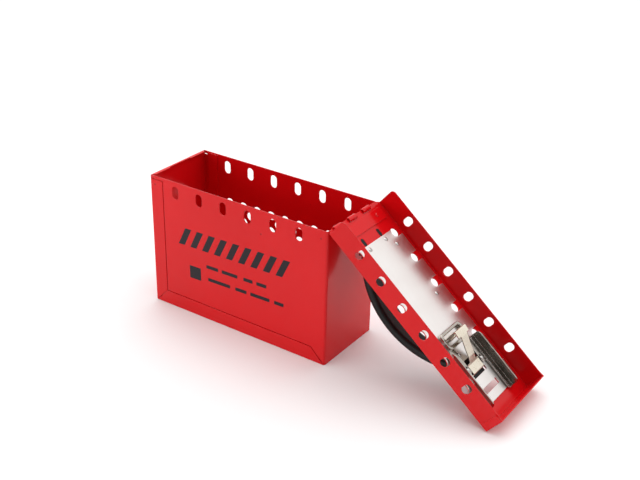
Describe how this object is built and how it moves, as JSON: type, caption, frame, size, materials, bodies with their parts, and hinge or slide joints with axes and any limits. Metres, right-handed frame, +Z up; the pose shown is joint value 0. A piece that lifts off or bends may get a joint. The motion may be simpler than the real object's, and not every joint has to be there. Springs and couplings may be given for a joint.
{
  "type": "group lockout box",
  "caption": "Portable folded-steel lockout box with slotted sides for padlocks, a hinged handled lid and a spring-free sliding latch, lid folded right open.",
  "frame": {"origin": "centre of the underside of the box's floor", "axes": "+X along the box towards the hinge, -Y towards the unperforated front wall, +Z up"},
  "size_m": [0.4276, 0.093, 0.168],
  "materials": {
    "powder_coated_steel": "gloss",
    "stainless_liner": "bright satin",
    "plated_rivets": "satin",
    "nickel_latch": "bright",
    "lever_zinc": "satin",
    "black_moulding": "satin",
    "black_strap": "satin"
  },
  "bodies": {
    "box": {"box_wrap": "powder_coated_steel", "box_pan": "powder_coated_steel"},
    "lid": {"lid_shell": "powder_coated_steel", "hinge_doubler": "powder_coated_steel", "hinge_rivets": "powder_coated_steel", "comb_liner": "stainless_liner", "liner_rivets": "plated_rivets", "handle_grip": "black_moulding", "handle_strap": "black_strap", "handle_foot_hinge_end": "black_moulding", "handle_foot_latch_end": "black_moulding", "handle_rivets": "plated_rivets", "guide_rivets": "plated_rivets", "guide_washers": "plated_rivets"},
    "latch": {"latch_fork": "nickel_latch", "latch_pin": "plated_rivets", "pin_clips": "plated_rivets", "release_lever": "lever_zinc", "thumb_button": "black_moulding", "button_pin": "plated_rivets"}
  },
  "joints": [
    {"name": "lid_hinge", "type": "hinge", "parent": "box", "child": "lid", "pos_m": [0.11575, 0, 0.1528], "axis": [0, -1, 0], "range_deg": [0, 219.82]},
    {"name": "latch_slide", "type": "slide", "parent": "lid", "child": "latch", "axis": [0.768, 0, -0.6404], "range_m": [0, 0.0026]}
  ]
}
